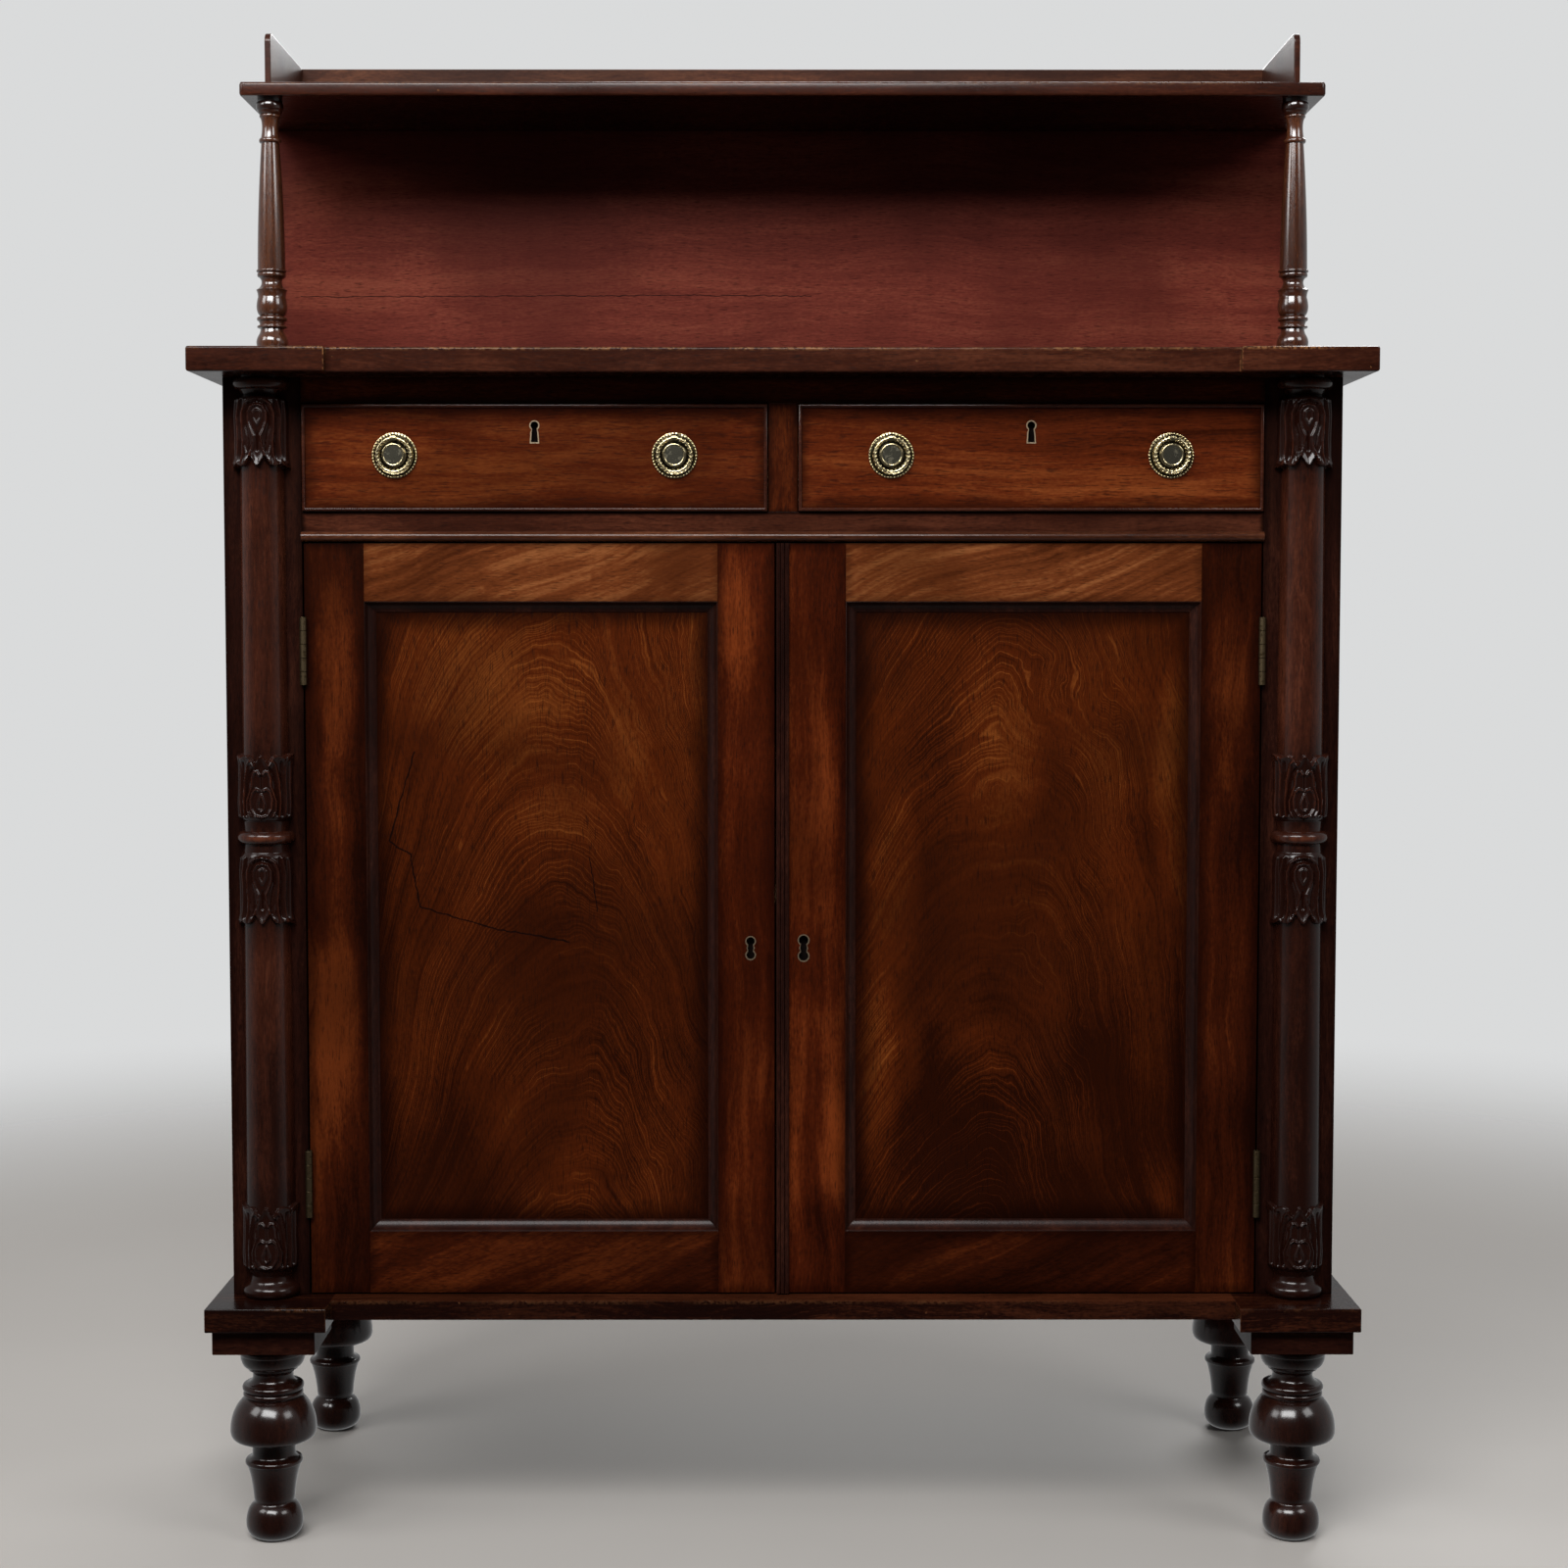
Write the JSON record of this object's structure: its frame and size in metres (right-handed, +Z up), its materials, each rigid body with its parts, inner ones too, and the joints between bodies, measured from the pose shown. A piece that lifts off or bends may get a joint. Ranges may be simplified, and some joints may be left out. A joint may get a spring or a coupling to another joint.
{
  "type": "chiffonier",
  "caption": "Mahogany chiffonier: cupboard with panelled doors under a row of drawers, half columns, turned feet, and a galleried shelf on turned spindles.",
  "frame": {"origin": "on the floor, midway across the width and the depth of the top board", "axes": "+X to the right as seen from the front, +Y to the back, +Z up"},
  "size_m": [1.044, 0.44, 1.403],
  "materials": {
    "mahogany": "french polished red-brown mahogany",
    "dark_mahogany": "french polished mahogany, near black with age",
    "red_mahogany": "flat red-stained mahogany",
    "flame_mahogany": "french polished figured mahogany veneer",
    "pine": "bare aged pine",
    "brass": "stamped and cast brass, lightly tarnished",
    "old_brass": "dull, tarnished cast brass",
    "iron": "bare dark iron"
  },
  "bodies": {
    "carcase": {"foot_front_left": "dark_mahogany", "foot_rear_left": "dark_mahogany", "foot_front_right": "dark_mahogany", "foot_rear_right": "dark_mahogany", "base_board": "dark_mahogany", "carcase_side_left": "mahogany", "carcase_side_right": "mahogany", "pilaster_left": "dark_mahogany", "pilaster_right": "dark_mahogany", "carcase_back": "pine", "top_rail": "mahogany", "mid_rail": "mahogany", "muntin": "mahogany", "dustboard": "pine", "drawer_guide": "pine", "cupboard_shelf": "pine", "column_left": "dark_mahogany", "column_right": "dark_mahogany", "top_board": "dark_mahogany", "spindle_left": "mahogany", "spindle_right": "mahogany", "backboard": "red_mahogany", "upper_shelf": "mahogany", "gallery_rail": "mahogany", "gallery_end_left": "mahogany", "gallery_end_right": "mahogany", "hinge_frame_leaf_left_bottom": "old_brass", "hinge_frame_leaf_left_top": "old_brass", "hinge_frame_leaf_right_bottom": "old_brass", "hinge_frame_leaf_right_top": "old_brass"},
    "door_left": {"door_hinge_stile_left": "mahogany", "door_meeting_stile_left": "mahogany", "door_bottom_rail_left": "mahogany", "door_top_rail_left": "mahogany", "door_panel_left": "flame_mahogany", "hinge_door_leaf_left_bottom": "old_brass", "hinge_door_leaf_left_top": "old_brass"},
    "door_right": {"door_hinge_stile_right": "mahogany", "door_meeting_stile_right": "mahogany", "door_bottom_rail_right": "mahogany", "door_top_rail_right": "mahogany", "door_panel_right": "flame_mahogany", "astragal": "dark_mahogany", "hinge_door_leaf_right_bottom": "old_brass", "hinge_door_leaf_right_top": "old_brass"},
    "door_bolt": {"door_lock_bolt": "iron"},
    "drawer_left": {"drawer_front_left": "flame_mahogany", "drawer_box_left": "pine", "pull_plate_left_outer": "brass", "pull_plate_left_inner": "brass"},
    "drawer_right": {"drawer_front_right": "flame_mahogany", "drawer_box_right": "pine", "pull_plate_right_outer": "brass", "pull_plate_right_inner": "brass"},
    "drawer_bolt_left": {"drawer_lock_bolt_left": "iron"},
    "drawer_bolt_right": {"drawer_lock_bolt_right": "iron"},
    "ring_left_outer": {"pull_ring_left_outer": "brass"},
    "ring_left_inner": {"pull_ring_left_inner": "brass"},
    "ring_right_outer": {"pull_ring_right_outer": "brass"},
    "ring_right_inner": {"pull_ring_right_inner": "brass"}
  },
  "joints": [
    {"name": "door_left_hinge", "type": "hinge", "parent": "carcase", "child": "door_left", "pos_m": [-0.42975, -0.1675, 0.5655], "axis": [0, 0, -1], "range_deg": [0, 115]},
    {"name": "door_right_hinge", "type": "hinge", "parent": "carcase", "child": "door_right", "pos_m": [0.42975, -0.1675, 0.5655], "axis": [0, 0, 1], "range_deg": [0, 115]},
    {"name": "door_bolt_slide", "type": "slide", "parent": "door_right", "child": "door_bolt", "axis": [-1, 0, 0], "range_m": [0, 0.008]},
    {"name": "drawer_left_slide", "type": "slide", "parent": "carcase", "child": "drawer_left", "axis": [0, -1, 0], "range_m": [0, 0.3]},
    {"name": "drawer_right_slide", "type": "slide", "parent": "carcase", "child": "drawer_right", "axis": [0, -1, 0], "range_m": [0, 0.3]},
    {"name": "drawer_bolt_left_slide", "type": "slide", "parent": "drawer_left", "child": "drawer_bolt_left", "axis": [0, 0, 1], "range_m": [0, 0.007]},
    {"name": "drawer_bolt_right_slide", "type": "slide", "parent": "drawer_right", "child": "drawer_bolt_right", "axis": [0, 0, 1], "range_m": [0, 0.007]},
    {"name": "ring_left_outer_swing", "type": "hinge", "parent": "drawer_left", "child": "ring_left_outer", "pos_m": [-0.3467, -0.1722, 0.9984], "axis": [-1, 0, 0], "range_deg": [0, 110]},
    {"name": "ring_left_inner_swing", "type": "hinge", "parent": "drawer_left", "child": "ring_left_inner", "pos_m": [-0.0968, -0.1722, 0.9984], "axis": [-1, 0, 0], "range_deg": [0, 110]},
    {"name": "ring_right_outer_swing", "type": "hinge", "parent": "drawer_right", "child": "ring_right_outer", "pos_m": [0.3467, -0.1722, 0.9984], "axis": [-1, 0, 0], "range_deg": [0, 110]},
    {"name": "ring_right_inner_swing", "type": "hinge", "parent": "drawer_right", "child": "ring_right_inner", "pos_m": [0.0968, -0.1722, 0.9984], "axis": [-1, 0, 0], "range_deg": [0, 110]}
  ]
}
